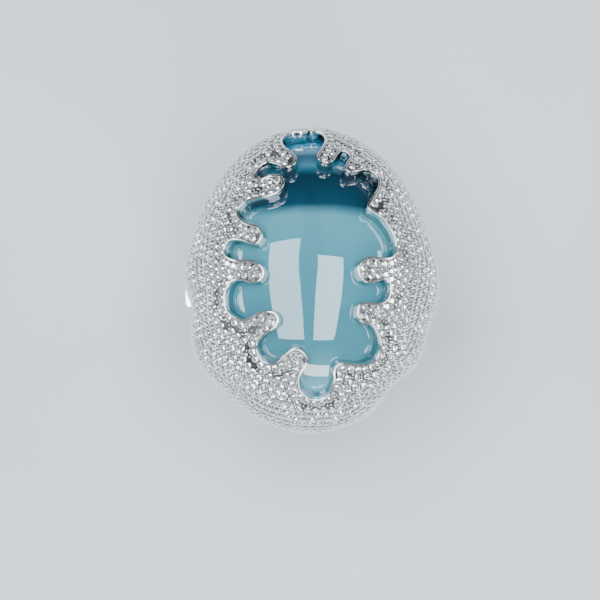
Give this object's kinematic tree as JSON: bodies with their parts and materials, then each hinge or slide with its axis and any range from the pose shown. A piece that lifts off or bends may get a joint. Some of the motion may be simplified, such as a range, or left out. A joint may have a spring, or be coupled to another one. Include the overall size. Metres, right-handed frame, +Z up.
{
  "type": "cocktail ring",
  "caption": "Cocktail ring with a tall oval blue cabochon under a domed, stone-set shell whose opening runs in drips.",
  "frame": {"origin": "centre of the finger hole", "axes": "+Y along the finger hole's axis, +Z up through the blue stone, X across the finger"},
  "size_m": [0.0263, 0.032, 0.0318],
  "materials": {
    "polished_gold": "polished white gold",
    "shell_gold": "white gold, cut away under the stones",
    "blue_topaz": "polished transparent sky blue",
    "white_stone": "colourless brilliant cut"
  },
  "bodies": {
    "root": {"cabochon": "blue_topaz", "cabochon_seat": "polished_gold", "seat_posts": "polished_gold", "seat_screws": "polished_gold", "pave_shell": "shell_gold", "opening_rail": "polished_gold", "skirt_rail": "polished_gold", "gallery_plate": "polished_gold", "gallery_rim": "polished_gold", "shank": "polished_gold", "shoulder_left": "polished_gold", "shoulder_right": "polished_gold", "opening_row_stones": "white_stone", "stones_right": "white_stone", "stones_back": "white_stone", "stones_left": "white_stone", "stones_front": "white_stone", "skirt_stones_right": "white_stone", "skirt_stones_left": "white_stone", "filler_stones": "white_stone", "shoulder_stones_left": "white_stone", "shoulder_stones_right": "white_stone"}
  },
  "joints": []
}
